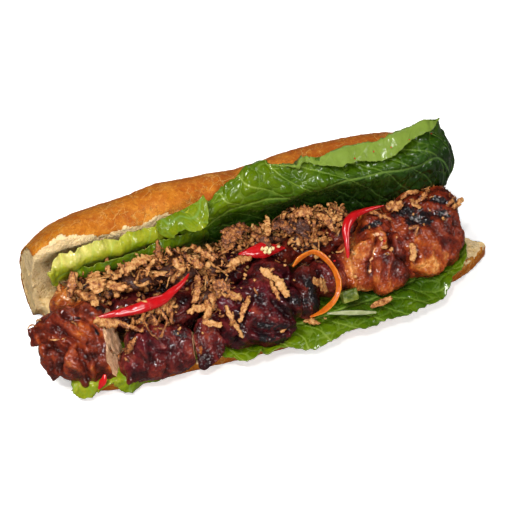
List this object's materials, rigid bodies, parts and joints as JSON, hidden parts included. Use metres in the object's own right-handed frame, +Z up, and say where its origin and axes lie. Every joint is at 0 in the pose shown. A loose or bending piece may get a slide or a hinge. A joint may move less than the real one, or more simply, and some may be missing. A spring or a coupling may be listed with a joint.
{
  "type": "grilled chicken sandwich",
  "caption": "Long crusty roll hinged open along its back, filled with salad leaves, folded glazed grilled chicken, crisp fried onions, red chilli slivers and a carrot curl.",
  "frame": {"origin": "middle of the footprint, on the flat underside of the roll that rests on the table", "axes": "+X along the roll from its cut end to its pointed end, +Y towards the hinge at the back, +Z up; the open filling faces -Y"},
  "size_m": [0.2738, 0.1102, 0.0904],
  "materials": {
    "bread": "golden brown baked crust, with a pale porous crumb on the cut faces",
    "lettuce": "fresh green leaf, waxy, with pale ribs",
    "glazed_chicken": "grilled meat under a dark red-brown wet glaze",
    "fried_onion": "dry crisp fried onion, tan to brown",
    "red_chilli": "smooth glossy chilli skin",
    "carrot": "moist raw carrot",
    "raw_onion": "moist pale raw onion",
    "cucumber": "moist pale green flesh"
  },
  "bodies": {
    "root": {"bread_roll": "bread", "lettuce_upper_leaf": "lettuce", "lettuce_upper_frill": "lettuce", "lettuce_lower_right": "lettuce", "lettuce_lower_left": "lettuce", "chicken_left": "glazed_chicken", "chicken_left_back": "glazed_chicken", "chicken_front_left": "glazed_chicken", "chicken_front_slice": "glazed_chicken", "chicken_middle": "glazed_chicken", "chicken_middle_lobe": "glazed_chicken", "chicken_inner": "glazed_chicken", "chicken_centre_right": "glazed_chicken", "chicken_fold_right": "glazed_chicken", "chicken_right": "glazed_chicken", "chicken_back_left": "glazed_chicken", "chicken_back_middle": "glazed_chicken", "chicken_back_right": "glazed_chicken", "crispy_onions_left": "fried_onion", "crispy_onions_back": "fried_onion", "onion_shred_front": "fried_onion", "chilli_long": "red_chilli", "chilli_slice": "red_chilli", "chilli_curl": "red_chilli", "carrot_curl": "carrot", "raw_onion_strand": "raw_onion", "cucumber_piece": "cucumber"}
  },
  "joints": []
}
